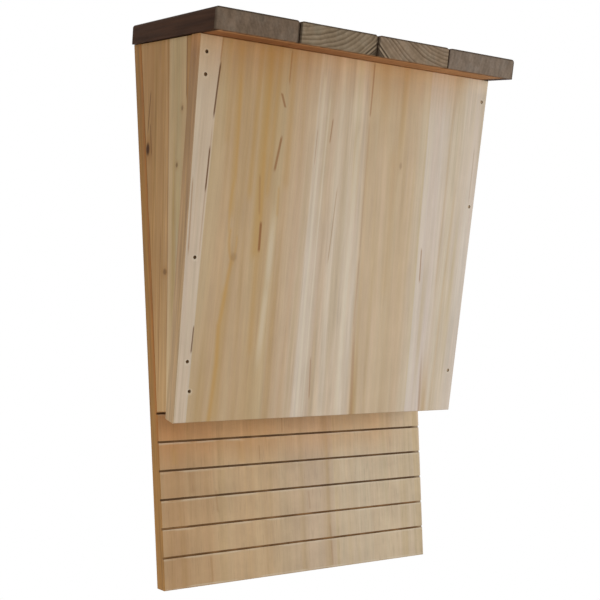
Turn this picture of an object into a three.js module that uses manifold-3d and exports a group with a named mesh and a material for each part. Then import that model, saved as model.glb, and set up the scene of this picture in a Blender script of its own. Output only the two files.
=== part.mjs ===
// A wall-hung bat box: a wedge-shaped chamber of softwood boards under a sloping board roof.
// The chamber is open at its foot, and the back panel runs on below it as a grooved landing board.
// The front panel leans out so that it stands square to the roof; both follow one angle.
// All lengths are in millimetres. The front looks along -Y, the wall is at the rear, and +Z is up.

import * as THREE from "three";
import { mergeVertices } from "three/addons/utils/BufferGeometryUtils.js";
import Module from "manifold-3d";

const wasm = await Module();
wasm.setup();

// Slope of the roof below the level, and lean of the front panel from the upright
const pitch = THREE.MathUtils.degToRad(15);

// Back panel, full height: from its top down to its foot each edge comes in by the taper
const back = { width: 205, height: 343, thickness: 12, taper: 4 };

// Climbing grooves in the back panel's front face: sawn right across the landing board, and
// stopped a little way off the side panels inside the chamber
const groove = { lowest: 19.9, spacing: 17.7, width: 1.3, depth: 1.1, bareTop: 30, stop: 2 };

// Keyhole routed into the rear face: a round entry, a narrow slot above it, and a wide channel
// behind the slot that holds the head of the wall screw
const keyhole = {
  belowTop: 48,
  entryRadius: 4.5,
  slotWidth: 4.6,
  slotLength: 11,
  lip: 3,
  depth: 8,
};

// Front panel: its length, and the entrance slit between its foot and the back panel
const front = { length: 221, slit: 19.6, thickness: 12 };

// Side panels, between back and front: the level foot stands a little above the inner edge of the
// front panel's foot
const side = { thickness: 12, footLift: 3.8 };

// Roof boards, side by side, with the grain running down the slope: the eaves stand out past the
// front panel, and the outer boards overhang the box at either side
const roof = { eaves: 21, overhang: 1.5, thickness: 12, count: 4, gap: 0.6, easing: 2 };

// Nails: slim brads with a small head, driven a little below the surface
const nail = {
  length: 30,
  shankRadius: 0.6,
  headRadius: 0.8,
  headThickness: 0.8,
  tip: 2.4,
  sink: 0.6,
};

// Clearances: under the roof and behind the leaning front, around each nail, and between the points
// of a rear and a front nail that meet in one line
const seat = 0.25;
const nailClearance = 0.3;
const pointsApart = 1.5;

// Chamfer on the rims of the panels, and how far a cutting tool runs past the wood
const arris = 0.4;
const overrun = 5;

// Vertices closer than this are one vertex
const weld = 0.001;

// Facets of each round shape
const nailSides = 8;
const keyholeSteps = 12;
const easingSteps = 4;

// Places of the nails through the front panel: shares of the front panel's length above its foot,
// and of the side panel's thickness in from the outer face
const leftNailShares = [
  [0.958, 0.35],
  [0.903, 0.36],
  [0.444, 0.39],
  [0.168, 0.34],
  [0.087, 0.54],
];
const rightNailShares = [
  [0.937, 0.28],
  [0.63, 0.2],
  [0.127, 0.2],
];

// Places of the nails through the back panel: shares of the side panel's rear edge, from the height
// at which the panel is deep enough for a rear and a front nail in one line up to its top
const rearNailShares = [0, 0.3, 0.6, 0.88];

// Places of the roof nails: shares of one board's width to either side of its middle
const roofNailShares = [-0.24, 0.24];

const sine = Math.sin(pitch);
const cosine = Math.cos(pitch);

// Shape x, shape y and the extrusion turned to X, Z and -Y: for panels seen from the front
const facingFront = new THREE.Matrix4().makeBasis(
  new THREE.Vector3(1, 0, 0),
  new THREE.Vector3(0, 0, 1),
  new THREE.Vector3(0, -1, 0),
);

// Shape x, shape y and the extrusion turned to Y, Z and X: for panels seen from the side
const facingSide = new THREE.Matrix4().makeBasis(
  new THREE.Vector3(0, 1, 0),
  new THREE.Vector3(0, 0, 1),
  new THREE.Vector3(1, 0, 0),
);

// The box hangs on a wall, so its frame starts at the middle of the rear face
const box = new THREE.Group();
const upright = new THREE.Group();
upright.position.z = -back.height / 2;
box.add(upright);

// The roof and the front panel share a frame turned by the pitch: its level plane is the underside
// of the roof, which meets the rear face at the top of the back panel
const tilted = new THREE.Group();
tilted.position.z = back.height;
tilted.rotation.x = pitch;
upright.add(tilted);
box.updateMatrixWorld(true);

const lightWood = { color: 0xc8a87e, roughness: 0.75, metalness: 0 };
const shadedWood = { color: 0xb08a5c, roughness: 0.78, metalness: 0 };
const darkWood = { color: 0x5e4c3c, roughness: 0.85, metalness: 0 };
const nailSteel = { color: 0x4a443e, roughness: 0.5, metalness: 0.9 };

// A closed solid from a geometry, with its shared corners merged
function solidOf(geometry) {
  const bare = geometry.clone();
  bare.deleteAttribute("normal");
  bare.deleteAttribute("uv");
  const merged = mergeVertices(bare, weld);
  return new wasm.Manifold(
    new wasm.Mesh({
      numProp: 3,
      vertProperties: new Float32Array(merged.attributes.position.array),
      triVerts: new Uint32Array(merged.index.array),
    }),
  );
}

// A flat-shaded geometry from a solid
function geometryOf(solid) {
  const mesh = solid.getMesh();
  const indexed = new THREE.BufferGeometry();
  indexed.setAttribute("position", new THREE.BufferAttribute(mesh.vertProperties, 3));
  indexed.setIndex(new THREE.BufferAttribute(mesh.triVerts, 1));
  const flat = indexed.toNonIndexed();
  flat.computeVertexNormals();
  return flat;
}

// Cuts tools out of a placed piece. Each tool is a closed geometry and its matrix in the box
function cut(piece, tools) {
  const toPiece = piece.matrixWorld.clone().invert();
  let solid = solidOf(piece.geometry);
  for (const tool of tools) {
    const matrix = toPiece.clone().multiply(tool.matrix);
    solid = solid.subtract(solidOf(tool.geometry.clone().applyMatrix4(matrix)));
  }
  piece.geometry = geometryOf(solid);
}

// Adds a named piece to a frame
function place(parent, name, geometry, finish, x, y, z) {
  const piece = new THREE.Mesh(geometry, new THREE.MeshStandardMaterial(finish));
  piece.name = name;
  piece.position.set(x, y, z);
  parent.add(piece);
  piece.updateMatrixWorld(true);
  return piece;
}

// A sawn board: an outline extruded from zero to its thickness, with both rims chamfered
function board(outline, thickness, orientation) {
  const geometry = new THREE.ExtrudeGeometry(outline, {
    depth: thickness - 2 * arris,
    bevelThickness: arris,
    bevelSize: arris,
    bevelOffset: -arris,
    bevelSegments: 1,
    curveSegments: easingSteps,
  });
  geometry.translate(0, 0, arris);
  return geometry.applyMatrix4(orientation);
}

// A straight-sided outline centred on x, standing on y = 0, from its half widths
function straightSided(halfFoot, halfTop, height) {
  const outline = new THREE.Shape();
  outline.moveTo(-halfFoot, 0);
  outline.lineTo(halfFoot, 0);
  outline.lineTo(halfTop, height);
  outline.lineTo(-halfTop, height);
  outline.closePath();
  return outline;
}

// Half the width of the back panel, and of the box, at a height in the upright frame
function halfWidth(height) {
  return back.width / 2 - back.taper * (1 - height / back.height);
}

// A point of the tilted frame, seen from the side, in the depth and height of the upright frame
function fromTilted(depth, rise) {
  const y = depth * cosine - rise * sine;
  const z = back.height + depth * sine + rise * cosine;
  return new THREE.Vector2(y, z);
}

// A point of the upright frame at a given height, on the tilted line of a given depth
function onTiltedLine(depth, height) {
  const rise = (height - back.height - depth * sine) / cosine;
  return fromTilted(depth, rise);
}

// Height in the upright frame at which the tilted line of a given depth reaches a given y
function heightOnTiltedLine(depth, y) {
  return back.height + depth * sine + ((depth * cosine - y) * cosine) / sine;
}

// Height of the plane on which the roof is seated, at a given depth in the upright frame
function seatHeight(depth) {
  return back.height + (depth * sine - seat) / cosine;
}

// Back panel
const backPanel = place(
  upright,
  "back_panel",
  board(straightSided(halfWidth(0), back.width / 2, back.height), back.thickness, facingFront),
  shadedWood,
  0,
  0,
  0,
);

// Front panel, hung under the roof plane in the tilted frame, as far out as its slit needs
const frontFoot = -seat - front.length;
const frontInner = (frontFoot * sine - back.thickness - front.slit) / cosine;
const frontOuter = frontInner - front.thickness;
const frontPanel = place(
  tilted,
  "front_panel",
  board(straightSided(back.width / 2, back.width / 2, front.length), front.thickness, facingFront),
  lightWood,
  0,
  frontInner,
  frontFoot,
);

// Side panels: the rear edge upright, the top under the roof, the front edge behind the leaning
// front panel and the foot level. Each leans out as much as the back panel's edge does, so that its
// outer face stays flush with that edge
const sideFront = frontInner + seat;
const sideFoot = fromTilted(frontInner, frontFoot).y + side.footLift;
const sideOutline = new THREE.Shape([
  new THREE.Vector2(-back.thickness, sideFoot),
  onTiltedLine(sideFront, sideFoot),
  fromTilted(sideFront, -seat),
  new THREE.Vector2(-back.thickness, seatHeight(-back.thickness)),
]);
const lean = back.taper / back.height;

function sideGeometry(sign) {
  const splay = new THREE.Matrix4().makeShear(0, 0, 0, 0, sign * lean, 0);
  return board(sideOutline, side.thickness, facingSide).applyMatrix4(splay);
}

const leftSide = place(
  upright,
  "left_side_panel",
  sideGeometry(-1),
  shadedWood,
  -halfWidth(0),
  0,
  0,
);
const rightSide = place(
  upright,
  "right_side_panel",
  sideGeometry(1),
  shadedWood,
  halfWidth(0) - side.thickness,
  0,
  0,
);

// Roof boards: a section with both top edges eased, run down the slope to the eaves
const roofLength = roof.eaves - frontOuter;
const roofWidth = back.width + 2 * roof.overhang;
const roofBoardWidth = (roofWidth - (roof.count - 1) * roof.gap) / roof.count;

function roofSection() {
  const half = roofBoardWidth / 2;
  const top = roof.thickness;
  const ease = roof.easing;
  const section = new THREE.Shape();
  section.moveTo(-half, 0);
  section.lineTo(half, 0);
  section.lineTo(half, top - ease);
  section.absarc(half - ease, top - ease, ease, 0, Math.PI / 2, false);
  section.lineTo(-half + ease, top);
  section.absarc(-half + ease, top - ease, ease, Math.PI / 2, Math.PI, false);
  section.closePath();
  return section;
}

const roofBoards = [];
for (let i = 0; i < roof.count; i += 1) {
  const middle = (i - (roof.count - 1) / 2) * (roofBoardWidth + roof.gap);
  const geometry = board(roofSection(), roofLength, facingFront);
  roofBoards.push(place(tilted, `roof_board_${i + 1}`, geometry, darkWood, middle, 0, 0));
}

// A nail along -Z, with the middle of its hole's mouth at the origin
function nailGeometry() {
  const headFoot = -nail.sink - nail.headThickness;
  const profile = [
    new THREE.Vector2(0, -nail.sink - nail.length),
    new THREE.Vector2(nail.shankRadius, -nail.sink - nail.length + nail.tip),
    new THREE.Vector2(nail.shankRadius, headFoot),
    new THREE.Vector2(nail.headRadius, headFoot),
    new THREE.Vector2(nail.headRadius, -nail.sink),
    new THREE.Vector2(0, -nail.sink),
  ];
  return new THREE.LatheGeometry(profile, nailSides).rotateX(Math.PI / 2);
}

// The hole that a nail stands in, a clearance wider and deeper than the nail all round
function nailHole() {
  const shank = nail.shankRadius + nailClearance;
  const head = nail.headRadius + nailClearance;
  const shoulder = -nail.sink - nail.headThickness - nailClearance;
  const floor = -nail.sink - nail.length - nailClearance;
  const profile = [
    new THREE.Vector2(0, floor),
    new THREE.Vector2(shank, floor),
    new THREE.Vector2(shank, shoulder),
    new THREE.Vector2(head, shoulder),
    new THREE.Vector2(head, overrun),
    new THREE.Vector2(0, overrun),
  ];
  return new THREE.LatheGeometry(profile, nailSides).rotateX(Math.PI / 2);
}

// The nails and the holes that each board needs for them
const holes = new Map();

function drive(parent, name, position, turn, boards) {
  const piece = place(parent, name, nailGeometry(), nailSteel, ...position);
  piece.rotation.x = turn;
  piece.updateMatrixWorld(true);
  for (const pierced of boards) {
    if (!holes.has(pierced)) holes.set(pierced, []);
    holes.get(pierced).push({ geometry: nailHole(), matrix: piece.matrixWorld });
  }
}

// Turns that point a nail at the wall, away from the wall and straight down
const towardsWall = Math.PI / 2;
const fromWall = -Math.PI / 2;
const down = 0;

// Front nails, through the front panel into the edges of the side panels
function driveFrontNails(label, sign, sidePanel, shares) {
  shares.forEach(([heightShare, insetShare], i) => {
    const z = frontFoot + heightShare * front.length;
    const outerFace = halfWidth(fromTilted(frontInner, z).y);
    const position = [sign * (outerFace - insetShare * side.thickness), frontOuter, z];
    drive(tilted, `front_nail_${label}_${i + 1}`, position, towardsWall, [frontPanel, sidePanel]);
  });
}
driveFrontNails("left", -1, leftSide, leftNailShares);
driveFrontNails("right", 1, rightSide, rightNailShares);

// Rear nails, through the back panel into the rear edges of the side panels
const nailDepth = nail.sink + nail.length;
const lowestRearNail = heightOnTiltedLine(frontOuter + nailDepth, -nailDepth - pointsApart);
const rearRun = seatHeight(-back.thickness) - lowestRearNail;

function driveRearNails(label, sign, sidePanel) {
  rearNailShares.forEach((share, i) => {
    const z = lowestRearNail + share * rearRun;
    const position = [sign * (halfWidth(z) - side.thickness / 2), 0, z];
    drive(upright, `rear_nail_${label}_${i + 1}`, position, fromWall, [backPanel, sidePanel]);
  });
}
driveRearNails("left", -1, leftSide);
driveRearNails("right", 1, rightSide);

// Roof nails: the rear row stands askew in the back panel, so it starts where its middle ends up
// halfway through that panel; the front row runs down the middle of the front panel
const nailBite = nailDepth - roof.thickness;
const rearRow = (-back.thickness / 2 - (nailBite / 2) * sine) / cosine;
const frontRow = (frontInner + frontOuter) / 2;

roofBoards.forEach((roofBoard, i) => {
  roofNailShares.forEach((share, j) => {
    const x = roofBoard.position.x + share * roofBoardWidth;
    const name = `${i + 1}_${j + 1}`;
    const rear = [x, rearRow, roof.thickness];
    const fore = [x, frontRow, roof.thickness];
    drive(tilted, `roof_nail_rear_${name}`, rear, down, [roofBoard, backPanel]);
    drive(tilted, `roof_nail_front_${name}`, fore, down, [roofBoard, frontPanel]);
  });
});

// The wedge above the seat of the roof, cut off the top of the back panel
function roofline() {
  const length = back.thickness + back.height;
  const wedge = new THREE.BoxGeometry(back.width + 2 * overrun, length, length);
  wedge.translate(0, 0, length / 2 - seat);
  return { geometry: wedge, matrix: tilted.matrixWorld };
}

// Climbing grooves at an even spacing, from the landing board up to just under the roof
function grooves() {
  const tools = [];
  const top = seatHeight(-back.thickness) - groove.bareTop;
  for (let z = groove.lowest; z < top; z += groove.spacing) {
    const stopped = z + groove.width / 2 > sideFoot;
    const reach = stopped ? halfWidth(z) - side.thickness - groove.stop : back.width / 2 + overrun;
    const depth = groove.depth + overrun;
    const saw = new THREE.BoxGeometry(2 * reach, depth, groove.width);
    saw.translate(0, -back.thickness + groove.depth - depth / 2, z);
    tools.push({ geometry: saw, matrix: upright.matrixWorld });
  }
  return tools;
}

// The outline of the keyhole's channel: two half circles joined by straight sides
function stadium(radius, length) {
  const outline = new THREE.Shape();
  outline.absarc(0, 0, radius, Math.PI, 0, false);
  outline.absarc(0, length, radius, 0, Math.PI, false);
  outline.closePath();
  return outline;
}

// A straight-walled cutter from one depth below the rear face to another
function router(outline, from, to) {
  const geometry = new THREE.ExtrudeGeometry(outline, {
    depth: to - from,
    bevelEnabled: false,
    curveSegments: keyholeSteps,
  });
  geometry.translate(0, 0, from);
  geometry.applyMatrix4(facingFront);
  geometry.translate(0, 0, back.height - keyhole.belowTop);
  return { geometry, matrix: upright.matrixWorld };
}

// The keyhole's three cuts: the entry, the slot through the lip and the channel behind the lip
function keyholeTools() {
  const entry = new THREE.Shape();
  entry.absarc(0, 0, keyhole.entryRadius, 0, 2 * Math.PI, false);
  return [
    router(entry, -overrun, keyhole.depth),
    router(stadium(keyhole.slotWidth / 2, keyhole.slotLength), -overrun, keyhole.depth),
    router(stadium(keyhole.entryRadius, keyhole.slotLength), keyhole.lip, keyhole.depth),
  ];
}

cut(backPanel, [roofline(), ...grooves(), ...keyholeTools()]);
for (const [pierced, tools] of holes) cut(pierced, tools);

export default box;
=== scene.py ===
"""Looks of a wall-hung bat box: planed softwood boards, a dark stained board roof and steel nails.

Lengths are in metres, or in MM (millimetres) where a docstring says so. The front looks along -Y
and +Z is up.
"""

import logging
import math
from collections.abc import Sequence
from dataclasses import dataclass, replace
from enum import Enum
from typing import Any

import bmesh
import bpy
from mathutils import Matrix, Vector


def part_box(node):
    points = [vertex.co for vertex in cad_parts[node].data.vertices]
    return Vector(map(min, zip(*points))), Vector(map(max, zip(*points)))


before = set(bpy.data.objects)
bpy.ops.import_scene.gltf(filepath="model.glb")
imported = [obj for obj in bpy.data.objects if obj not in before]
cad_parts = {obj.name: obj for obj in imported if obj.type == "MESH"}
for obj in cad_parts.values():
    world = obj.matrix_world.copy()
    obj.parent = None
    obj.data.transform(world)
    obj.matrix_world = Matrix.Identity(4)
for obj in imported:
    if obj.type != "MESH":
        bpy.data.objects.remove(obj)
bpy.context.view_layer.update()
log = logging.getLogger("bat_box")

Colour = tuple[float, float, float]
Point = tuple[float, float, float]
Pair = tuple[float, float]
Stops = Sequence[tuple[float, Colour]]
Settings = dict[str, Any] | None
Sockets = dict[str | int, Any] | None

MM = 0.001
PITCH = math.radians(15)
BACK_TOP = 171.5 * MM


def srgb(red: int, green: int, blue: int) -> Colour:
    """Gives the linear colour of an sRGB colour.

    Args:
        red: Red in steps of 0 to 255.
        green: Green in steps of 0 to 255.
        blue: Blue in steps of 0 to 255.

    Returns:
        The three linear values, from 0 to 1.
    """

    def linear(step: int) -> float:
        """Gives one channel's linear value."""
        share = step / 255
        return share / 12.92 if share <= 0.04045 else ((share + 0.055) / 1.055) ** 2.4

    return linear(red), linear(green), linear(blue)


class Signal:
    """A socket of a shader's tree, on which Python's operators add Math nodes."""

    def __init__(self, shader: "Shader", socket: bpy.types.NodeSocket) -> None:
        """Wraps a socket of that shader."""
        self.shader = shader
        self.socket = socket

    def __add__(self, other: "Value") -> "Signal":
        """Adds a value."""
        return self.shader.maths("ADD", self, other)

    __radd__ = __add__

    def __sub__(self, other: "Value") -> "Signal":
        """Takes a value away."""
        return self.shader.maths("SUBTRACT", self, other)

    def __rsub__(self, other: "Value") -> "Signal":
        """Is taken away from a value."""
        return self.shader.maths("SUBTRACT", other, self)

    def __mul__(self, other: "Value") -> "Signal":
        """Multiplies by a value."""
        return self.shader.maths("MULTIPLY", self, other)

    __rmul__ = __mul__

    def __truediv__(self, other: "Value") -> "Signal":
        """Divides by a value."""
        return self.shader.maths("DIVIDE", self, other)

    def __abs__(self) -> "Signal":
        """Drops the sign."""
        return self.shader.maths("ABSOLUTE", self)

    def fraction(self) -> "Signal":
        """Keeps what stands behind the point."""
        return self.shader.maths("FRACT", self)

    def root(self) -> "Signal":
        """Takes the square root."""
        return self.shader.maths("SQRT", self)

    def most(self, other: "Value") -> "Signal":
        """Takes the larger of two values."""
        return self.shader.maths("MAXIMUM", self, other)

    def line(self, slope: float, offset: float) -> "Signal":
        """Multiplies by a slope and adds an offset, in one node."""
        return self.shader.maths("MULTIPLY_ADD", self, slope, offset)

    def rise(self, start: float, end: float) -> "Signal":
        """Goes smoothly from 0 to 1 between two places in MM."""
        return self.step(start * MM, end * MM)

    def step(self, start: float, end: float, top: float = 1.0) -> "Signal":
        """Goes smoothly from 0 to the top between two values.

        It needs no clamp, and a clamp's value would wait in the renderer's small stack.

        Args:
            start: Value at which the result is 0.
            end: Value at which the result is the top, above or below the start.
            top: The largest result.

        Returns:
            The smooth step.
        """
        return self.shader.node(
            "ShaderNodeMapRange",
            {"interpolation_type": "SMOOTHSTEP", "clamp": False},
            {"Value": self, "From Min": start, "From Max": end, "To Min": 0.0, "To Max": top},
        )


Value = Signal | float


class Shader:
    """A material's tree, which adds a node with its settings and sockets in one call."""

    def __init__(self, name: str, tree: bpy.types.NodeTree | None = None) -> None:
        """Starts a material of that name, or takes over a tree, and empties it."""
        self.material = None if tree else bpy.data.materials.new(name)
        if self.material:
            self.material.use_nodes = True
        self.tree = tree or self.material.node_tree
        self.tree.nodes.clear()

    def add(self, kind: str, settings: Settings = None, sockets: Sockets = None) -> bpy.types.Node:
        """Adds a node.

        Args:
            kind: The node's type.
            settings: Its properties, set first; stops are a ramp's places and colours.
            sockets: Values or signals for its inputs, by name or number.

        Returns:
            The node.
        """
        made = self.tree.nodes.new(kind)
        for key, setting in (settings or {}).items():
            if key == "stops":
                self.set_stops(made.color_ramp, setting)
            else:
                setattr(made, key, setting)
        for key, value in (sockets or {}).items():
            self.feed(made.inputs[key], value)
        return made

    def node(
        self, kind: str, settings: Settings = None, sockets: Sockets = None, output: str | int = 0
    ) -> Signal:
        """Adds a node and gives the signal of one output, by its name or number."""
        return Signal(self, self.add(kind, settings, sockets).outputs[output])

    @staticmethod
    def set_stops(ramp: bpy.types.ColorRamp, stops: Stops) -> None:
        """Gives a colour ramp its stops.

        Args:
            ramp: The ramp, with the two stops that it starts with.
            stops: Places from 0 to 1, in order, with their colours, which may have an alpha.
        """
        while len(ramp.elements) < len(stops):
            ramp.elements.new(1.0)
        for element, (place, colour) in zip(ramp.elements, stops):
            element.position = place
            element.color = (*colour, 1.0)[:4]

    def feed(self, socket: bpy.types.NodeSocket, value: Any) -> None:
        """Links a signal to an input, or sets the input's own value."""
        if isinstance(value, Signal):
            self.tree.links.new(value.socket, socket)
        elif isinstance(value, tuple) and socket.type == "RGBA":
            socket.default_value = (*value, 1.0)
        else:
            socket.default_value = value

    def maths(self, operation: str, *values: Value) -> Signal:
        """Adds a Math node with that operation and those values."""
        return self.node("ShaderNodeMath", {"operation": operation}, dict(enumerate(values)))

    def vector(self, x: Value, y: Value, z: Value) -> Signal:
        """Joins three values into a vector."""
        return self.node("ShaderNodeCombineXYZ", None, {0: x, 1: y, 2: z})

    def split(self, vector: Signal) -> list[Signal]:
        """Takes a vector apart into its three values."""
        made = self.add("ShaderNodeSeparateXYZ", None, {0: vector})
        return [Signal(self, socket) for socket in made.outputs]

    def mix(self, share: Value, first: Any, second: Any, blend: str = "MIX") -> Signal:
        """Mixes a share of the second colour into the first, or blends it in another way."""
        settings = {"data_type": "RGBA", "blend_type": blend}
        return self.node("ShaderNodeMix", settings, {0: share, 6: first, 7: second}, 2)

    def scaled(self, colour: Signal, factor: Value) -> Signal:
        """Makes a colour lighter or darker by a factor."""
        sockets = {"Vector": colour, "Scale": factor}
        return self.node("ShaderNodeVectorMath", {"operation": "SCALE"}, sockets)

    def noise(self, vector: Signal, detail: float = 2.0, roughness: float = 0.5) -> Signal:
        """Adds noise whose features are about one unit of the vector across."""
        sockets = {"Vector": vector, "Scale": 1.0, "Detail": detail, "Roughness": roughness}
        return self.node("ShaderNodeTexNoise", {"noise_dimensions": "3D"}, sockets)

    def close(self, shader: Signal, output: str = "ShaderNodeOutputMaterial") -> None:
        """Ends the tree in that shader."""
        self.add(output, None, {"Surface": shader})


class Lay(Enum):
    """How a board lies in its own turned axes: its across, along and through axes, by number."""

    UPRIGHT = (0, 2, 1)
    EDGEWISE = (1, 2, 0)
    SLOPING = (0, 1, 2)


@dataclass(frozen=True)
class Axes:
    """A board's own axes: where they start, their turn about X and how the board lies in them."""

    origin: Point
    turn: float
    lay: Lay

    def grain(self) -> Vector:
        """Gives the direction of the grain in the frame."""
        unit = Vector((0, 0, 0))
        unit[self.lay.value[1]] = 1
        return Matrix.Rotation(self.turn, 3, "X") @ unit

    def signals(self, shader: Shader) -> list[Signal]:
        """Gives a point's place across, along and through the board.

        Args:
            shader: The tree that needs them.

        Returns:
            The three signals, in metres.
        """
        point = shader.node("ShaderNodeTexCoord", None, None, "Object")
        sockets = {"Vector": point, "Location": self.origin, "Rotation": (self.turn, 0, 0)}
        local = shader.node("ShaderNodeMapping", {"vector_type": "TEXTURE"}, sockets)
        parts = shader.split(local)
        return [parts[axis] for axis in self.lay.value]

    def place(self, point: Vector) -> Pair:
        """Gives the place across and along the board of a point of the frame."""
        local = Matrix.Rotation(-self.turn, 3, "X") @ (point - Vector(self.origin))
        return local[self.lay.value[0]], local[self.lay.value[1]]


class Mark(Enum):
    """Kinds of marks in the wood, with the colour of each and how crisp its sides are."""

    OCHRE = (srgb(169, 136, 84), 0.0)
    PALE = (srgb(202, 190, 168), 0.1)
    AMBER = (srgb(172, 133, 72), 0.0)
    BROWN = (srgb(134, 92, 52), 0.2)
    SPLIT = (srgb(88, 53, 12), 0.4)


@dataclass(frozen=True)
class Streak:
    """A mark that runs with the grain, its ends given across and along the board, in MM."""

    kind: Mark
    start: Pair
    end: Pair
    width: float
    strength: float
    bow: float = 0.0
    fade: float = 0.15

    def mask(self, wood: "Wood") -> Signal:
        """Gives the streak's strength at each point.

        Args:
            wood: The wood that it lies in.

        Returns:
            The mask, from 0 to the streak's strength.
        """
        run = self.end[1] - self.start[1]
        share = wood.ahead.line(1 / (run * MM), -self.start[1] / run)
        line = share.line((self.end[0] - self.start[0]) * MM, self.start[0] * MM)
        if self.bow:
            line = line + share * (1.0 - share) * (4 * self.bow * MM)
        half = self.width / 2 * MM
        side = abs(wood.bent - line).step(half, half * self.kind.value[1], self.strength)
        return side * share.step(0, self.fade) * share.step(1, 1 - self.fade)


def streaks_of(kind: Mark, *rows: Sequence[float]) -> list[Streak]:
    """Gives streaks of one kind, from rows of their start, end, width, strength, bow and fade."""
    return [Streak(kind, row[:2], row[2:4], *row[4:]) for row in rows]


@dataclass(frozen=True)
class Knot:
    """A knot: its middle across and along the board and its two half widths, in MM."""

    middle: Pair
    half_across: float
    half_along: float
    strength: float

    def distance(self, wood: "Wood") -> Signal:
        """Gives the distance from the knot's middle, which is 1 at its rim."""
        across = (wood.across - self.middle[0] * MM) / (self.half_across * MM)
        along = (wood.along - self.middle[1] * MM) / (self.half_along * MM)
        return (across * across + along * along).root()


@dataclass(frozen=True)
class Strip:
    """A strip of an edge-glued board.

    It has its left side across the board, its tints from there to the next strip, evenly spread,
    how strongly its lines show, and how far aside of the board's middle and below its face the
    middle of its rings lies. Lengths are in MM, and the last two reach at most 200.
    """

    left: float
    tints: Sequence[Colour]
    lines: float = 0.5
    aside: float = 0.0
    below: float = 60.0


SOFT_TONES = (
    (0.30, (0.84, 0.77, 0.60)),
    (0.40, (0.93, 0.89, 0.81)),
    (0.48, (0.98, 0.94, 0.92)),
    (0.54, (0.96, 0.945, 0.91)),
    (0.62, (1.0, 1.0, 1.0)),
    (0.70, (0.92, 0.92, 0.86)),
)


@dataclass(frozen=True)
class WoodFinish:
    """A wood's finish: its colours, the strength of its figure and its surface."""

    late: Colour
    ring_spacing: float
    ring_strength: float
    figure: float
    wander: float
    roughness: float
    tones: Stops = SOFT_TONES
    end: Colour = (0.76, 0.64, 0.5)
    relief: float = 0.24
    gloss: float = 0.2
    char: Colour = srgb(50, 32, 16)


@dataclass(frozen=True)
class NailHole:
    """A nail's hole in a board's face: its place across and along, and how dark it is.

    Its bruise and its dark middle each fade from one distance to the other.
    """

    place: Pair
    darkness: float = 0.9
    bruise: Pair = (2.6 * MM, 1.4 * MM)
    middle: Pair = (1.1 * MM, 0.9 * MM)


@dataclass(frozen=True)
class Board:
    """One board's own figure: its strips up to its right side in MM and its marks.

    The skin holds the colours of its left and right sides, at its top and at its foot; the top's is darker
    by painted shade.
    """

    node: str
    axes: Axes
    strips: Sequence[Strip]
    right: float
    seed: float
    streaks: Sequence[Streak] = ()
    knots: Sequence[Knot] = ()
    nails: Sequence[NailHole] = ()
    skin: tuple[Colour, Colour] | None = None

    def tints(self) -> list[tuple[float, Colour]]:
        """Gives the places in MM and the colours of all tints, with a crisp step at each joint."""
        rights = [strip.left for strip in self.strips[1:]] + [self.right]
        stops = []
        for strip, right in zip(self.strips, rights):
            inner = right - strip.left - 0.4
            for index, tint in enumerate(strip.tints):
                share = index / max(1, len(strip.tints) - 1)
                stops.append((strip.left + 0.2 + share * inner, tint))
        return stops


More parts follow.
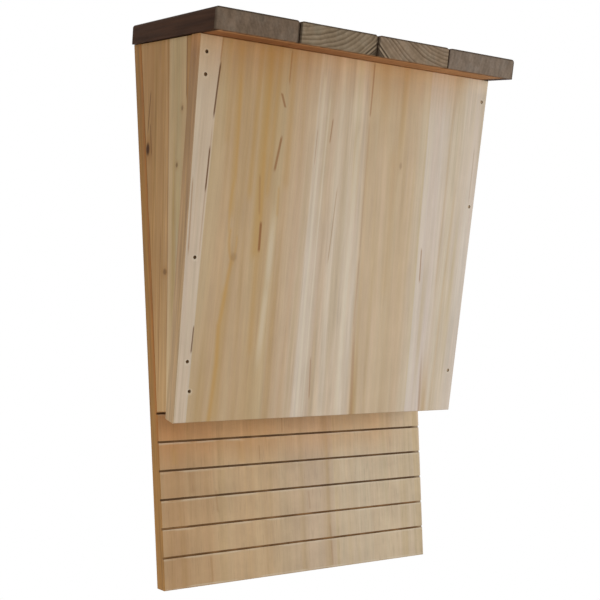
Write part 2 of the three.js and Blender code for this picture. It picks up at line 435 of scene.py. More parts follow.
class Wood(Shader):
    """Solid wood: its figure is worked out in the board's own axes, so it runs through every face."""

    reach: float = 200 * MM

    def __init__(self, finish: WoodFinish, board: Board) -> None:
        """Builds the material of that board."""
        super().__init__(f"{board.node}_wood")
        self.finish = finish
        self.board = board
        self.across, self.along, self.through = board.axes.signals(self)
        self.straight = self.leaned()
        wander = (self.drawn(26, 160, 1, 2.0, self.across, 0.0) - 0.5) * finish.wander
        self.flow = self.straight + wander
        # One vector makes both of a streak's places ready together. Otherwise one waits for each
        # streak in the renderer's stack, and a board with many streaks comes out black.
        self.bent, self.ahead, _ = self.split(self.vector(self.across + wander, self.along, 0.0))
        self.aside, self.below, self.number, self.lines = self.strip_values()
        self.grain_ends = self.facing(board.axes.grain())
        self.skins = self.facing(Vector((1, 0, 0)))

    def drawn(
        self,
        width: float,
        length: float,
        channel: int,
        detail: float = 2.0,
        across: Signal | None = None,
        number: Value | None = None,
    ) -> Signal:
        """Adds noise drawn out along the grain, which starts anew in each strip.

        Args:
            width: Size of its features across the grain, in MM.
            length: Size of its features along the grain, in MM.
            channel: Number that sets this noise apart from the board's others.
            detail: Number of finer octaves.
            across: Place across the grain; the flowing grain's where none is given.
            number: Number of the strip; the point's own where none is given.

        Returns:
            The noise, from 0 to 1 around a half.
        """
        place = self.flow if across is None else across
        seed = (self.number if number is None else number) + (self.board.seed + 7.3 * channel)
        width, length = width * MM, length * MM
        vector = self.vector(place / width + seed, self.along / length + seed, self.through / width)
        return self.noise(vector, detail)

    def leaned(self) -> Signal:
        """Gives the place across the board along its glue lines. Boards may lean them."""
        return self.across

    def ramped(self, stops: Stops, interpolation: str) -> list[Signal]:
        """Gives a colour by the place across the board.

        Args:
            stops: Places in MM and colours.
            interpolation: How the colours change between the stops.

        Returns:
            The colour and its alpha.
        """
        first, last = self.board.strips[0].left * MM, self.board.right * MM
        share = (self.straight - first) / (last - first)
        made = self.add("ShaderNodeValToRGB", None, {"Fac": share})
        made.color_ramp.interpolation = interpolation
        shares = [((place * MM - first) / (last - first), colour) for place, colour in stops]
        self.set_stops(made.color_ramp, shares)
        return [Signal(self, socket) for socket in made.outputs]

    def strip_values(self) -> list[Signal]:
        """Gives where the strip's rings have their middle, its number and its lines' strength."""
        count, span = len(self.board.strips), 2 * self.reach
        stops = []
        for index, strip in enumerate(self.board.strips):
            aside, below = strip.aside * MM / span + 0.5, strip.below * MM / span + 0.5
            stops.append((strip.left, (aside, below, (index + 0.5) / count, strip.lines)))
        colour, lines = self.ramped(stops, "CONSTANT")
        aside, below, number = self.split(colour)
        return [(aside - 0.5) * span, (below - 0.5) * span, number * 31.0, lines]

    def facing(self, direction: Vector) -> Signal:
        """Gives 1 on faces that look along a direction or against it."""
        normal = self.node("ShaderNodeNewGeometry", None, None, "True Normal")
        sockets = {0: normal, 1: tuple(direction)}
        dot = self.node("ShaderNodeVectorMath", {"operation": "DOT_PRODUCT"}, sockets, 1)
        return abs(dot).step(0.5, 0.8)

    def rings(self) -> Signal:
        """Gives the late wood of the growth rings, sharp on its outer side."""
        across, through = self.flow - self.aside, self.through + self.below
        spacing = self.finish.ring_spacing
        wobble = (self.drawn(30, 110, 2) - 0.5) * (2.5 * spacing)
        phase = ((across * across + through * through).root() + wobble) / spacing
        turn = phase.fraction()
        uneven = self.noise(self.vector(phase * 0.45, self.board.seed, 0.0), 1.0)
        return turn.step(0.15, 0.86) * turn.step(1.0, 0.9) * uneven.step(0.25, 0.7)

    def ring_share(self) -> Value:
        """Gives how strongly the rings show: on cut ends more than along the grain."""
        strength = self.lines * self.finish.ring_strength
        return self.grain_ends * (0.5 - 0.5 * strength) + strength

    def streaked(self, colour: Signal) -> Signal:
        """Lays the board's marks over a colour, one kind at a time."""
        for kind in Mark:
            total: Value = 0.0
            for streak in self.board.streaks:
                if streak.kind is kind:
                    total = streak.mask(self).most(total)
            if isinstance(total, Signal):
                colour = self.mix(total, colour, kind.value[0])
        return colour

    def knotted(self, colour: Signal) -> Signal:
        """Lays the board's knots over a colour, each with a dark heart and a stained surround."""
        for knot in self.board.knots:
            distance = knot.distance(self)
            stain = distance.step(2.8, 0.8, 0.7 * knot.strength)
            colour = self.mix(stain, colour, self.finish.late, "MULTIPLY")
            colour = self.mix(distance.step(1.2, 0.4, knot.strength), colour, srgb(80, 47, 14))
        return colour

    def nailed(self, colour: Signal) -> Signal:
        """Lays a pale, bruised ring round each nail's hole, and darkens the hole."""
        for hole in self.board.nails:
            aside, ahead = self.across - hole.place[0], self.along - hole.place[1]
            distance = (aside * aside + ahead * ahead).root()
            colour = self.mix(distance.step(*hole.bruise, 0.3), colour, Mark.PALE.value[0])
            colour = self.mix(distance.step(*hole.middle, hole.darkness), colour, self.finish.char)
        return colour

    def tint(self) -> Signal:
        """Gives the board's tint, which changes from strip to strip, and that of its skin."""
        colour = self.ramped(self.board.tints(), "LINEAR")[0]
        if not self.board.skin:
            return colour
        low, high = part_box(self.board.node)
        height = self.node("ShaderNodeTexCoord", None, None, "Object")
        # Painted shade: the skin is darker at the top and lighter at the foot.
        foot = self.split(height)[2].step(high.z, low.z)
        skin = self.mix(foot, *self.board.skin)
        weathered = self.drawn(2.4, 45, 13) - 0.5
        return self.mix(self.skins, colour, self.scaled(skin, weathered * 0.9 + 1.0))

    def wood(self) -> Signal:
        """Gives the colour of the sound wood with its broad bands, rings, lines and fibres."""
        finish = self.finish
        broad = self.drawn(8, 260, 3)
        tones = self.node("ShaderNodeValToRGB", {"stops": finish.tones}, {"Fac": broad})
        colour = self.mix(finish.figure, self.tint(), tones, "MULTIPLY")
        colour = self.mix(self.rings() * self.ring_share(), colour, finish.late, "MULTIPLY")
        bands = (self.drawn(3.8, 95, 5) - 0.5) * 0.26
        patches = self.drawn(11, 48, 12, 1.0).step(0.34, 0.66) * 0.8 + 0.2
        lines = (self.drawn(1.4, 60, 6, 1.0) - 0.5) * (self.lines * 0.7 + 0.06) * patches
        fibres = (self.drawn(0.6, 14, 7, 1.0) - 0.5) * 0.16
        spots = self.vector(self.across * 90.0, self.along * 45.0, self.through * 90.0)
        clouds = (self.noise(spots, 3.0) - 0.5) * 0.2
        colour = self.scaled(colour, (bands + lines + fibres + clouds) * finish.figure + 1.0)
        return self.mix(self.grain_ends, colour, finish.end, "MULTIPLY")

    def dressed(self) -> Signal:
        """Gives the final colour. Boards with more to show add to it."""
        return self.nailed(self.knotted(self.streaked(self.wood())))

    def relief(self) -> Signal:
        """Gives the height of the surface: fibres and softer early wood."""
        return self.drawn(0.5, 22, 8) * 0.6 + self.drawn(2.2, 70, 9, 1.0) * 0.4

    def build(self) -> bpy.types.Material:
        """Ends the tree and gives the material."""
        bump = self.node(
            "ShaderNodeBump",
            None,
            {"Strength": self.finish.relief, "Distance": 0.4 * MM, "Height": self.relief()},
        )
        sheen = self.drawn(1.4, 60, 10, 1.0)
        shader = self.node(
            "ShaderNodeBsdfPrincipled",
            None,
            {
                "Base Color": self.dressed(),
                "Roughness": self.finish.roughness + (sheen - 0.5) * 0.16,
                "Specular IOR Level": self.finish.gloss,
                "Normal": bump,
            },
        )
        self.close(shader)
        return self.material


def dress(node: str, material: bpy.types.Material) -> None:
    """Puts a material on a CAD node in place of its plain one."""
    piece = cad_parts[node]
    piece.data.materials.clear()
    piece.data.materials.append(material)
    log.info("%s takes %s", node, material.name)


def middle(node: str) -> Vector:
    """Gives the middle of a CAD node's box."""
    low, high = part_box(node)
    return (low + high) / 2


TILTED = Axes((0, 0, BACK_TOP), PITCH, Lay.UPRIGHT)


class LeaningStrips(Wood):
    """Edge-glued wood whose glue lines lean a little."""

    leans: Sequence[Pair] = (
        *((-104, 0.0), (-92, -0.03), (-78, -0.012), (-45, 0.0), (-22, 0.0), (13, 0.0366)),
        *((36, 0.045), (58, 0.04), (78, 0.02), (98, 0.01), (104, 0.0)),
    )

    def leaned(self) -> Signal:
        """Gives the place across the panel along its leaning glue lines."""
        low, high = self.leans[0][0], self.leans[-1][0]
        share = (self.across / MM - low) / (high - low)
        stops = [((x - low) / (high - low), (lean + 0.5,) * 3) for x, lean in self.leans]
        lean = self.node("ShaderNodeValToRGB", {"stops": stops}, {"Fac": share}) - 0.5
        return self.across + self.along * lean

    def dressed(self) -> Signal:
        """Adds painted shade under the eaves, darker and warmer towards the top, and painted light in the
        top 12 MM that cancels the eaves' own shadow.
        """
        eaves_shade_side = self.across.rise(90, 76)
        # Painted shade: darker towards the top, mostly left of the last strip.
        broad = self.along.rise(-122, -14) * (eaves_shade_side * 0.7 + 0.3)
        colour = self.mix(broad, super().dressed(), (0.925, 0.9, 0.845), "MULTIPLY")
        # Painted shade and painted warm light reflected from the roof's underside, in the top 34 MM.
        near = self.along.rise(-34, 2) * eaves_shade_side
        colour = self.mix(near, colour, (0.97, 0.84, 0.7), "MULTIPLY")
        # Painted light in the top 12 MM, standing in for light that the eaves' shadow takes away.
        return self.mix(self.along.rise(-12, 0), colour, (1.38, 1.35, 1.27), "MULTIPLY")


@dataclass
class FrontPanel:
    """The leaning front panel, edge-glued from strips of different tints."""

    left_nails: int = 5
    right_nails: int = 3
    hole_darkness: float = 0.2
    seed: float = 3.0

    finish: WoodFinish = WoodFinish(
        late=(0.86, 0.78, 0.68),
        end=(0.74, 0.62, 0.5),
        ring_spacing=3.1 * MM,
        ring_strength=0.3,
        figure=0.8,
        wander=3.0 * MM,
        roughness=0.62,
        relief=0.22,
    )

    def strips(self) -> list[Strip]:
        """Gives the panel's strips."""
        cream, bone = srgb(190, 174, 154), srgb(187, 170, 149)
        tan, straw, ochre = srgb(176, 154, 121), srgb(176, 151, 118), srgb(173, 147, 110)
        dun, flax = srgb(181, 158, 131), srgb(185, 164, 139)
        milk, ash, rose = srgb(192, 177, 159), srgb(183, 164, 142), srgb(195, 180, 160)
        honey, wheat = srgb(183, 162, 133), srgb(187, 167, 141)
        shell, linen, chalk = srgb(195, 183, 172), srgb(190, 176, 155), srgb(194, 182, 167)
        return [
            Strip(-106, (cream, cream, bone, cream), 0.4, -20, 60),
            Strip(-89, (tan, straw, straw, straw, ochre, tan), 0.3, -95, 90),
            Strip(-44.6, (straw, dun, flax), 0.3, 60, 120),
            Strip(-24, (milk, milk, ash, rose, ash, rose, milk, honey), 0.75, 60, 30),
            Strip(13, (honey, wheat, honey, wheat, linen), 0.2, -40, 110),
            Strip(56.5, (shell, shell, linen, chalk, shell), 0.5, 150, 40),
        ]

    def streaks(self) -> list[Streak]:
        """Gives the splits, glue lines, bands and streaks that stand out on the panel."""
        return [
            *streaks_of(
                Mark.OCHRE,
                (-58.5, 4, -57, -128, 11, 0.85, 0, 0.08), (-63.8, 4, -64.2, -92, 6.5, 0.65, 0, 0.1),
                (-76.4, 4, -74.8, -104, 7.5, 0.65, 0, 0.1), (-51, 4, -53, -90, 6, 0.6, 0, 0.1),
                (-83.6, 4, -81.6, -60, 6, 0.3, 0, 0.1), (-42.6, 4, -41, -84, 7, 0.45, 0, 0.1),
                (-56.5, -108, -55.6, -186, 6.5, 0.5), (-75, -136, -76.4, -226, 10, 0.5, 0, 0.1),
                (18, 44, 27, -62, 15, 0.4, 0, 0.45), (36.6, 60, 39, -80, 7, 0.45, 0, 0.4),
                (33, -44, 38, -150, 11, 0.2), (20.4, -160, 24, -282, 6, 0.4, 0, 0.45),
                (76, -168, 84, -284, 9, 0.55, 0, 0.45), (76.5, -10, 78.5, -150, 3, 0.2),
                (84.5, -60, 85.8, -250, 3, 0.18),
            ),
            *streaks_of(
                Mark.PALE,
                (-47.9, -84, -48, -156, 6.5, 0.45, 0.6, 0.45),
                (-47.6, -120, -50.4, -198, 6, 0.4, 0.6, 0.4), (-21.2, -8, -19.4, -224, 2.8, 0.5, 0, 0.05),
                (-16.2, -20, -15.2, -224, 1.8, 0.45, 0, 0.05), (3.5, 20, 4.5, -54, 10, 0.5, 0, 0.4),
                (6.2, -30, 10.4, -224, 4.5, 0.4, 0, 0.1), (60, -10, 66, -224, 7, 0.3, 0, 0.1),
            ),
            *streaks_of(
                Mark.AMBER,
                (-75.6, -16, -73.6, -84, 3.4, 0.45), (-73.8, -74, -75, -112, 3.2, 0.4, -1.6),
                (-74.2, -104, -72, -126, 3.6, 0.55, -1.6), (-70, -108, -72.6, -130, 2.6, 0.35, 1),
                (-71.8, -118, -78.2, -168, 4.6, 0.65), (-77.8, -158, -77.2, -192, 5, 0.7),
                (-77.2, -182, -79.8, -226, 5.4, 0.65), (-45.5, -78, -45, -98, 3, 0.4),
                (-57.4, -2, -56.8, -66, 3, 0.35), (-57, -56, -55.6, -104, 3.6, 0.45),
                (-44.4, -2, -45.2, -20, 2.2, 0.35),
            ),
            *streaks_of(
                Mark.BROWN,
                (-88.4, 0.5, -89.3, -14, 1.4, 0.4), (-91.2, -44, -94.2, -130, 1.2, 0.3),
                (-49.4, -25.5, -45.8, -34.5, 2.4, 0.75), (-46.4, -49, -49.6, -72, 2.4, 0.8),
                (-55.3, -99.5, -55, -119.5, 2.4, 1), (-44.4, 0.5, -44.6, -22, 1.5, 0.45),
                (-58.6, -72, -56.6, -98, 2, 0.35), (-12.8, -36, -13.5, -52, 1.3, 0.6),
                (-4.9, -74, -6.9, -126, 1.2, 0.4), (-22.9, -43, -22.9, -66, 1, 0.3),
                (-12.6, -181, -11.1, -211, 1.3, 0.45), (13, 0.5, 13.2, -34, 1.6, 0.55, 0, 0.1),
                (13.1, -30, 16.2, -122, 1.4, 0.18), (16.1, -116, 17.5, -168, 1.6, 0.25),
                (17, -148, 23.4, -256, 3.4, 0.38, 0, 0.35), (63.8, -110, 65.2, -135, 1.6, 0.6),
                (72.6, -170, 79.6, -260, 2.6, 0.4, 0, 0.35), (97.3, -42, 98.4, -82, 1.2, 0.3),
                (-100.6, -76, -100.4, -124, 1.3, 0.55),
            ),
            *streaks_of(
                Mark.SPLIT,
                (-88.8, -12, -91.2, -46, 1.4, 0.9), (-92, -59, -92.8, -87, 1.2, 0.85),
                (-94.2, -162, -95, -180, 1.2, 0.8),
            ),
        ]

    def nails(self) -> list[NailHole]:
        """Gives each nail's hole in the panel's face, half filled."""
        sides = (("left", self.left_nails), ("right", self.right_nails))
        names = [f"front_nail_{side}_{i + 1}" for side, count in sides for i in range(count)]
        return [NailHole(TILTED.place(middle(name)), self.hole_darkness) for name in names]

    def build(self) -> None:
        """Dresses the panel."""
        board = Board(
            node="front_panel",
            axes=TILTED,
            strips=self.strips(),
            right=106,
            seed=self.seed,
            streaks=self.streaks(),
            nails=self.nails(),
            knots=[Knot((40, -60.3), 1.2, 2.4, 0.25), Knot((-71.6, -122), 2.4, 3.0, 0.22)],
            # Skin at the top, then at the foot; the top's is darker by painted shade.
            skin=(srgb(158, 123, 84), srgb(190, 159, 120)),
        )
        dress("front_panel", LeaningStrips(self.finish, board).build())


class GroovedWood(Wood):
    """The back panel's wood, with scorched saw cuts across it.

    Pairs of depths through the board and of distances from a cut's middle, in MM, are where
    something starts to show and where it shows fully.
    """

    face: Pair = (-10.7, -10.8)
    cut_floor: Pair = (-11.98, -11.8)
    cut_side: Pair = (0.85, 0.7)

    def __init__(self, finish: WoodFinish, board: Board, lowest: float, spacing: float) -> None:
        """Takes the height of the lowest groove and the distance from groove to groove."""
        super().__init__(finish, board)
        self.lowest = lowest
        self.spacing = spacing

    def dressed(self) -> Signal:
        """Adds the scorched grooves, a painted highlight below each, and painted shade and light on the
        wood from the front panel's foot upwards.
        """
        # Painted shade and light: warmer and darker below the front panel's foot on the left, lighter on
        # the right, standing in for its shadow.
        shade = self.mix(self.across.rise(58, 90), (1.1, 0.9, 0.71), (1.18, 1.15, 1.12))
        colour = self.mix(self.foot_shading(), super().dressed(), shade, "MULTIPLY")
        colour = self.scaled(colour, self.mottled() + 1.0)
        share = (self.along - self.lowest) / self.spacing + 0.5
        off = (share.fraction() - 0.5) * self.spacing
        face = self.through.rise(*self.face) * (1.0 - self.skins)
        row = share - share.fraction()
        patchy = self.noise(self.vector(self.across * 75.0, row * 7.7, off * 500.0), 4.0)
        # Painted highlight: a patchy pale line along the lower lip of each groove.
        lip_highlight = off.rise(-2.4, -1.0) * off.rise(-0.6, -0.9)
        colour = self.mix(lip_highlight * face * patchy.step(0.4, 0.6) * 0.4, colour, Mark.PALE.value[0])
        floor = self.through.rise(*self.cut_floor) * face * abs(off).rise(*self.cut_side)
        scorch = self.mix(patchy.step(0.42, 0.66), srgb(102, 69, 33), srgb(142, 103, 60))
        deep = self.along.rise(-136, -116)
        scorch = self.mix(deep, scorch, (0.6, 0.58, 0.56), "MULTIPLY")
        run_out = self.across.rise(97, 93) * 0.5 + 0.46
        return self.mix(floor * run_out, colour, scorch)

    def mottled(self) -> Signal:
        """Gives the weathered wood's blotches and its short dark ticks along the grain."""
        blotches = self.vector(self.across * 42.0, self.along * 55.0, self.board.seed)
        ticks = self.drawn(1.1, 13, 14, 1.0).step(0.56, 0.74)
        return (self.noise(blotches, 4.0, 0.6) - 0.5) * (self.front_side() * 0.2 + 0.14) - ticks * 0.09

    def front_side(self) -> Signal:
        """Gives 1 on the front face and 0 on the rear one."""
        return self.through.rise(-7, -11.5)

    def foot_shading(self) -> Signal:
        """Gives 1 on the front face from the front panel's foot upwards, where shade and light are painted.
        """
        return self.along.rise(-106, -71) * self.front_side()


@dataclass
class BackPanel:
    """The back panel, whose foot is the grooved landing board."""

    half_height: float = 171.5 * MM
    lowest_groove: float = 19.9 * MM
    groove_spacing: float = 17.7 * MM
    nail_rows: int = 4

    finish: WoodFinish = WoodFinish(
        late=(0.88, 0.8, 0.7),
        ring_spacing=4.2 * MM,
        ring_strength=0.22,
        figure=0.7,
        wander=2.6 * MM,
        roughness=0.66,
    )

    def strips(self) -> list[Strip]:
        """Gives the panel's strips."""
        clay, tan, straw = srgb(170, 138, 101), srgb(175, 145, 109), srgb(182, 155, 120)
        fawn, ash = srgb(180, 157, 127), srgb(182, 161, 136)
        wheat, linen, pale = srgb(189, 170, 143), srgb(188, 171, 146), srgb(191, 175, 153)
        return [
            Strip(-106, (clay, clay, tan, straw, straw), 0.3, -140, 90),
            Strip(-31, (straw, fawn, ash, ash), 0.25, 30, 120),
            Strip(26, (wheat, linen, wheat), 0.4, -80, 60),
            Strip(71, (wheat, linen, pale), 0.35, 180, 100),
        ]

    def streaks(self) -> list[Streak]:
        """Gives the landing's weathered streaks and, higher up, the rear face's glue lines and streaks."""
        return [
            *streaks_of(
                Mark.OCHRE,
                (-90, -84, -89, -96, 6, 0.4), (-44, -82, -43, -98, 9, 0.35),
                (6, 140, 12, -50, 9, 0.45, -3),
            ),
            *streaks_of(Mark.AMBER, (-64, 150, -57, 4, 5, 0.45, 3), (44, 128, 47, -40, 3.6, 0.4, -2)),
            *streaks_of(
                Mark.BROWN,
                (-79, -96, -78, -115, 6, 0.18), (-62, -112, -61, -128, 2.2, 0.25),
                (-30, -86, -30, -97, 1.4, 0.3), (22, -140, 23, -172, 2, 0.25),
                (-12, -62, -12, -80, 1.6, 0.3), (-67, -153, -66, -171, 2, 0.25),
                (6, -118, 7, -132, 2.4, 0.22), (-31, 176, -31, -46, 1, 0.4, 0, 0.03),
                (26, 176, 26, -46, 0.9, 0.3, 0, 0.03), (71, 176, 71, -46, 1, 0.35, 0, 0.03),
                (88, 62, 86, 24, 1.8, 0.5),
            ),
            *streaks_of(Mark.SPLIT, (-12, 158, -11, 128, 1.2, 0.5)),
        ]

    def build(self) -> None:
        """Dresses the panel."""
        names = [f"rear_nail_{side}_{i + 1}" for side in ("left", "right") for i in range(self.nail_rows)]
        axes = Axes((0, 0, 0), 0.0, Lay.UPRIGHT)
        board = Board(
            node="back_panel",
            axes=axes,
            strips=self.strips(),
            right=106,
            seed=11.0,
            nails=[NailHole(axes.place(middle(name))) for name in names],
            knots=[Knot((-38, 96), 5.0, 7.0, 0.8), Knot((52, -8), 3.2, 4.6, 0.7)],
            streaks=self.streaks(),
            # Skin at the top, then at the foot; the top's is darker by painted shade.
            skin=(srgb(144, 101, 41), srgb(169, 122, 62)),
        )
        lowest = self.lowest_groove - self.half_height
        wood = GroovedWood(self.finish, board, lowest, self.groove_spacing)
        dress("back_panel", wood.build())


class TopShadedWood(Wood):
    """The side panels' wood, painted darker towards the top: painted shade of the light that falls more on
    the lower parts.
    """

    def dressed(self) -> Signal:
        """Adds painted shade: the upper half darker, and darker still right under the roof."""
        upper = self.along.rise(-70, 40)
        colour = self.mix(upper, super().dressed(), (0.79, 0.75, 0.71), "MULTIPLY")
        return self.mix(self.along.rise(40, 165), colour, (0.88, 0.86, 0.82), "MULTIPLY")


@dataclass
class SidePanels:
    """The two tapering side panels, with the grain between upright and the front's lean."""

    grain_lean: float = math.radians(8)

    finish: WoodFinish = WoodFinish(
        late=(0.82, 0.7, 0.55),
        ring_spacing=4.0 * MM,
        ring_strength=0.35,
        figure=1.0,
        wander=3.4 * MM,
        roughness=0.64,
        gloss=0.06,
    )

    def left_streaks(self) -> list[Streak]:
        """Gives the splits, glue lines and streaks of the left panel."""
        return [
            *streaks_of(Mark.PALE, (-48, 60, -47, -20, 5, 0.3)),
            *streaks_of(Mark.AMBER, (-16, 165, -10, 30, 4, 0.35), (-28, 120, -26, 0, 3, 0.3)),
            *streaks_of(
                Mark.BROWN,
                (-2.4, 74, -20.8, -60, 1.8, 0.6), (-34.8, 172, -34.8, -30, 1.6, 0.45),
                (-60.8, 164, -60.8, 122, 2.4, 0.75), (-60.6, 114, -61, 90, 2.2, 0.7),
                (-24, 60, -22, -60, 2.6, 0.4), (-70, 160, -72, 30, 2.6, 0.5),
            ),
            *streaks_of(
                Mark.SPLIT,
                (10.6, 168, -3.6, 64, 1.7, 0.6), (-6.3, 138, -1, 110, 1.8, 0.6),
                (-5, 118, -8, 96, 1.6, 0.5),
            ),
        ]

    def build(self) -> None:
        """Dresses both panels."""
        axes = Axes((0, 0, 0), self.grain_lean, Lay.EDGEWISE)
        umber, russet = srgb(205, 168, 121), srgb(194, 155, 106)
        lichen, moss = srgb(219, 193, 154), srgb(208, 187, 146)
        left = Board(
            node="left_side_panel",
            axes=axes,
            strips=[
                Strip(-110, (russet, russet), 0.8, -60, 80),
                Strip(-61, (lichen, moss, lichen), 0.4, 80, 120),
                Strip(-35, (umber, russet, umber), 0.8, 20, 60),
            ],
            right=14,
            seed=21.0,
            streaks=self.left_streaks(),
            knots=[
                Knot((-1.6, 101.7), 3.4, 4.6, 1.0),
                Knot((-31.1, 26.2), 3.4, 2.2, 0.5),
                Knot((-54.7, 119.7), 1.8, 1.7, 0.45),
                Knot((-47.6, 88.1), 1.8, 1.7, 0.55),
            ],
        )
        right = Board(
            node="right_side_panel",
            axes=axes,
            strips=[
                Strip(-110, (lichen, moss), 0.5, 60, 60),
                Strip(-71, (umber, russet), 0.8, -120, 90),
                Strip(-27, (lichen, umber), 0.6, 30, 50),
            ],
            right=14,
            seed=33.0,
            knots=[Knot((-44, 66), 2.6, 4.0, 0.8), Knot((-18, -12), 1.2, 2.0, 0.7)],
        )
        for board in (left, right):
            dress(board.node, TopShadedWood(self.finish, board).build())


@dataclass(frozen=True)
class RoofFigure:
    """How one roof board's cut end looks.

    It has the colour, how far aside of the board's middle and above its underside the rings have
    their middle, how far apart they are, in MM, how strongly they show, on which side they show
    boldly, if on any, and how dark its left and right rims are.
    """

    shade: Colour
    aside: float
    above: float
    spacing: float
    strength: float
    bold_side: float
    rims: Pair
    seed: float


class StainedWood(Wood):
    """The roof's wood: stained dark, with open rings on its cut ends, and left bare underneath."""

    def __init__(self, finish: WoodFinish, board: Board, figure: RoofFigure, roof: "Roof") -> None:
        """Takes the cut end's figure and the roof that the board lies in."""
        self.end_figure = figure
        self.roof = roof
        super().__init__(finish, board)

    def ring_share(self) -> Value:
        """Gives how strongly the rings show, with the bold ones on one side of the cut end."""
        figure = self.end_figure
        share = self.grain_ends * (figure.strength - 0.15) + 0.15
        if figure.bold_side:
            bold = (self.across * figure.bold_side).rise(8, 22)
            share = share + bold * self.grain_ends * 0.2
        return share

    def notched(self, colour: Signal) -> Signal:
        """Draws the bold dark and pale rings in the lower corner next to the bold side's joint."""
        side = self.end_figure.bold_side
        if not side:
            return colour
        corner = self.across * -side + (25.8 * MM) + self.through * 1.1
        turn = (corner / (3.0 * MM)).fraction()
        near = corner.rise(13, 8) * self.grain_ends
        dark = (turn.step(0.3, 0.5) * turn.step(1.0, 0.8)).most(corner.rise(4.6, 3.8))
        colour = self.mix(near * 0.45, colour, srgb(156, 138, 114))
        return self.mix(near * dark * 0.85, colour, srgb(48, 36, 26))

    def dressed(self) -> Signal:
        """Adds the dark long grain, the bare underside with a painted highlight at its front rim and
        painted light along the front panel, and the darker rims.
        """
        roof = self.roof
        colour = self.mix(1.0 - self.grain_ends, super().dressed(), roof.stain, "MULTIPLY")
        spots = self.vector(self.across * 700.0, self.through * 700.0, self.along * 700.0)
        speckle = (self.noise(spots, 2.0) - 0.5) * 0.4
        cuts = self.vector(self.across * 300.0, self.through * 55.0, self.board.seed)
        scuffs = (self.noise(cuts, 3.0, 0.6) - 0.5) * (0.95 - self.end_figure.strength)
        stains = self.vector(self.across * 85.0, self.through * 110.0, self.along * 30.0)
        blotches = (self.noise(stains, 3.0) - 0.5) * 0.5
        runs = (self.drawn(3.2, 46, 15, 3.0) - 0.5) * 1.3
        rough = (speckle + scuffs) * self.grain_ends + runs * (1.0 - self.grain_ends) + blotches
        colour = self.notched(self.scaled(colour, rough + 1.0))
        outer = self.through.step(roof.thickness - 1.3 * MM, roof.thickness - 0.3 * MM)
        left, right = self.end_figure.rims
        rims = (self.across.rise(-24.2, -25.2) * left).most(outer)
        rims = (self.across.rise(24.2, 25.2) * right).most(rims)
        colour = self.mix(rims * self.grain_ends * 0.8, colour, srgb(46, 36, 26))
        creep = (self.drawn(3, 9, 11) - 0.5) * (5 * MM)
        under = self.through.rise(0.5, 0.3) * (self.along + creep).rise(-126, -120)
        place = self.node("ShaderNodeTexCoord", None, None, "Object")
        aside = self.split(place)[0]
        bare = self.mix(aside.rise(-80, 75), roof.bare_left, roof.bare_right)
        # Painted highlight: the bare underside is lighter at its front rim.
        bare = self.mix(self.along.rise(-116, -123), bare, roof.rim_highlight)
        # Painted light: the underside is lighter along the front panel's face, cancelling the contact
        # shadow in the gap.
        gap_light = self.along.rise(-106, -104.5) * self.along.rise(-102, -103.5)
        bare = self.scaled(bare, blotches + gap_light * 0.5 + 1.0)
        inside = aside.rise(-101.5, -99.5) * aside.rise(99.5, 95.5)
        return self.mix(under * inside, colour, bare)


@dataclass
class Roof:
    """Four stained boards side by side, with the grain running down the slope."""

    thickness: float = 12 * MM
    stain: Colour = (0.34, 0.21, 0.15)
    bare_left: Colour = srgb(148, 98, 60)
    bare_right: Colour = srgb(180, 132, 90)
    rim_highlight: Colour = srgb(192, 138, 90)

    finish: WoodFinish = WoodFinish(
        late=(0.3, 0.25, 0.2),
        tones=(
            (0.3, (0.8, 0.76, 0.7)),
            (0.5, (0.96, 0.92, 0.88)),
            (0.6, (1.0, 1.0, 1.0)),
            (0.7, (0.85, 0.88, 0.86)),
        ),
        end=(1.0, 1.0, 1.0),
        ring_spacing=2.0 * MM,
        ring_strength=0.5,
        figure=0.8,
        wander=2.2 * MM,
        roughness=0.74,
        relief=0.4,
        gloss=0.05,
    )

    def figures(self) -> list[RoofFigure]:
        """Gives each board's cut end, from left to right."""
        return [
            RoofFigure(srgb(107, 92, 78), -190, -100, 2.0, 0.14, 0.0, (0.5, 1.0), 41.0),
            RoofFigure(srgb(132, 117, 97), -28, 61, 2.5, 0.78, 1.0, (1.0, 0.9), 50.0),
            RoofFigure(srgb(134, 117, 98), 33, 69, 2.1, 0.72, -1.0, (0.9, 0.0), 59.0),
            RoofFigure(srgb(120, 107, 95), 190, -60, 2.4, 0.18, 0.0, (0.0, 0.7), 68.0),
        ]

    def build(self) -> None:
        """Dresses the boards, each from another place in its tree."""
        for index, figure in enumerate(self.figures()):
            node = f"roof_board_{index + 1}"
            axes = Axes((middle(node).x, 0, BACK_TOP), PITCH, Lay.SLOPING)
            rows = [f"roof_nail_{row}_{index + 1}_{j + 1}" for row in ("rear", "front") for j in range(2)]
            tints = (figure.shade, figure.shade, figure.shade)
            board = Board(
                node=node,
                axes=axes,
                strips=[Strip(-27, tints, 0.5, figure.aside, -figure.above)],
                right=27,
                seed=figure.seed,
                nails=[NailHole(axes.place(middle(name))) for name in rows],
            )
            finish = replace(self.finish, ring_spacing=figure.spacing * MM)
            dress(node, StainedWood(finish, board, figure, self).build())


@dataclass
class Nails:
    """Dull steel nails, whose heads stand a little below the wood, with dust on those to the right."""

    def build(self) -> None:
        """Dresses every nail."""
        shader = Shader("dull_steel")
        point = shader.node("ShaderNodeTexCoord", None, None, "Object")
        grime = shader.noise(shader.scaled(point, 900.0), 3.0)
        steel = shader.mix(grime.step(0.35, 0.7), srgb(84, 56, 26), srgb(52, 34, 14))
        dusty = shader.split(point)[0].rise(60, 70) * 0.8
        colour = shader.mix(dusty, steel, srgb(176, 150, 118))
        bump = shader.node("ShaderNodeBump", None, {"Strength": 0.3, "Distance": 0.1 * MM, "Height": grime})
        sockets = {
            "Base Color": colour,
            "Metallic": 0.8 - dusty * 0.9,
            "Roughness": 0.45 + grime * 0.3,
            "Normal": bump,
        }
        shader.close(shader.node("ShaderNodeBsdfPrincipled", None, sockets))
        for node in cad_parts:
            if "nail" in node:
                dress(node, shader.material)


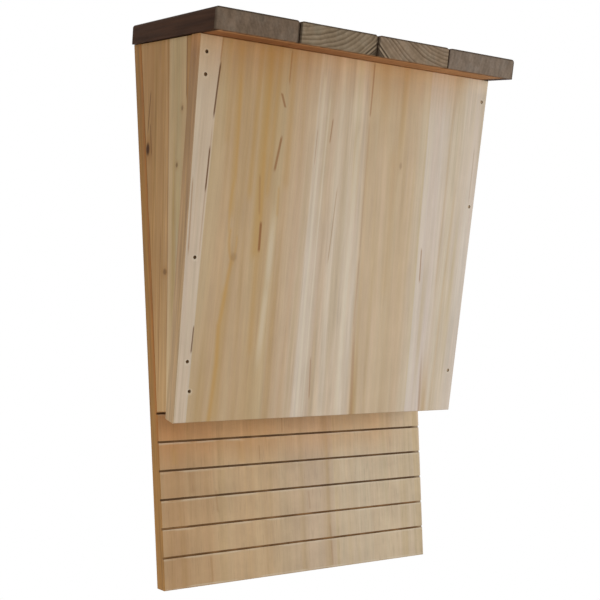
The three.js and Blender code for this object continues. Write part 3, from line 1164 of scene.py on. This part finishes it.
@dataclass
class Studio:
    """A pale floor well below the hung box, a white surround, soft lights and the camera."""

    floor_height: float = -0.45
    floor_radius: float = 1.15
    fill: float = 0.5
    white: Colour = (1.0, 1.0, 1.0)
    eye: Point = (-0.32419, -0.57653, -0.05687)
    eye_right: Point = (0.86501, -0.5002, -0.03953)
    eye_up: Point = (0.00865, -0.0639, 0.99792)
    focal_length: float = 58.508
    shift: float = 0.08

    def backdrop_rays(self, shader: Shader) -> Signal:
        """Gives 1 to the rays that see the surround itself."""
        made = shader.add("ShaderNodeLightPath")
        kinds = ("Is Camera Ray", "Is Glossy Ray", "Is Transmission Ray")
        camera, glossy, through = (Signal(shader, made.outputs[kind]) for kind in kinds)
        return camera.most(glossy).most(through)

    def build_world(self) -> None:
        """Makes the surround white to the camera and a soft fill to the box."""
        world = bpy.data.worlds.new("surround")
        world.use_nodes = True
        shader = Shader("surround", world.node_tree)
        sky = shader.node("ShaderNodeBackground", None, {"Color": self.white, "Strength": self.fill})
        card = shader.node("ShaderNodeBackground", None, {"Color": self.white, "Strength": 1.0})
        rays = self.backdrop_rays(shader)
        both = shader.node("ShaderNodeMixShader", None, {0: rays, 1: sky, 2: card})
        shader.close(both, "ShaderNodeOutputWorld")
        bpy.context.scene.world = world

    def build_floor(self) -> None:
        """Makes the round floor."""
        mesh = bpy.data.meshes.new("floor")
        disc = bmesh.new()
        bmesh.ops.create_circle(disc, cap_ends=True, segments=96, radius=self.floor_radius)
        bmesh.ops.translate(disc, verts=disc.verts, vec=(0, 0, self.floor_height))
        disc.to_mesh(mesh)
        disc.free()
        floor = bpy.data.objects.new("floor", mesh)
        bpy.context.scene.collection.objects.link(floor)
        shader = Shader("floor_paint")
        paint = shader.node("ShaderNodeBsdfDiffuse", None, {"Color": (0.82, 0.82, 0.82)})
        glow = shader.node("ShaderNodeEmission", None, {"Color": self.white, "Strength": 1.0})
        rays = self.backdrop_rays(shader) * 0.8
        shader.close(shader.node("ShaderNodeMixShader", None, {0: rays, 1: paint, 2: glow}))
        mesh.materials.append(shader.material)

    def build_lamp(self, name: str, place: Sequence[float], size: float, power: float) -> None:
        """Makes a square soft light that faces the box.

        Args:
            name: The light's name.
            place: Where it stands.
            size: Length of its sides.
            power: Its power in watts.
        """
        data = bpy.data.lights.new(name, "AREA")
        data.shape = "SQUARE"
        data.size = size
        data.energy = power
        lamp = bpy.data.objects.new(name, data)
        lamp.location = place
        lamp.rotation_euler = (-Vector(place)).to_track_quat("-Z", "Y").to_euler()
        bpy.context.scene.collection.objects.link(lamp)

    def build_camera(self) -> None:
        """Makes the camera, which stands low on the left and looks slightly up."""
        right, up = Vector(self.eye_right), Vector(self.eye_up)
        data = bpy.data.cameras.new("camera")
        data.sensor_width = 36.0
        data.lens = self.focal_length
        data.shift_y = self.shift
        camera = bpy.data.objects.new("camera", data)
        turned = Matrix((right, up, right.cross(up))).transposed().to_4x4()
        camera.matrix_world = Matrix.Translation(self.eye) @ turned
        bpy.context.scene.collection.objects.link(camera)
        bpy.context.scene.camera = camera

    def build(self) -> None:
        """Makes the whole studio."""
        bpy.context.scene.view_settings.view_transform = "Standard"
        self.build_world()
        self.build_floor()
        self.build_lamp("key_light", (1.15, -1.75, -0.12), 1.3, 24.0)
        self.build_lamp("side_light", (-1.7, -0.6, 0.1), 1.0, 6.0)
        self.build_lamp("rear_light", (0.2, 1.6, 0.7), 1.0, 12.0)
        self.build_camera()


def main() -> None:
    """Builds the object and the studio."""
    logging.basicConfig(level=logging.INFO, format="%(name)s: %(message)s")
    for part in (BackPanel(), SidePanels(), FrontPanel(), Roof(), Nails(), Studio()):
        part.build()
        log.info("%s is built", type(part).__name__)


if __name__ == "__main__":
    main()
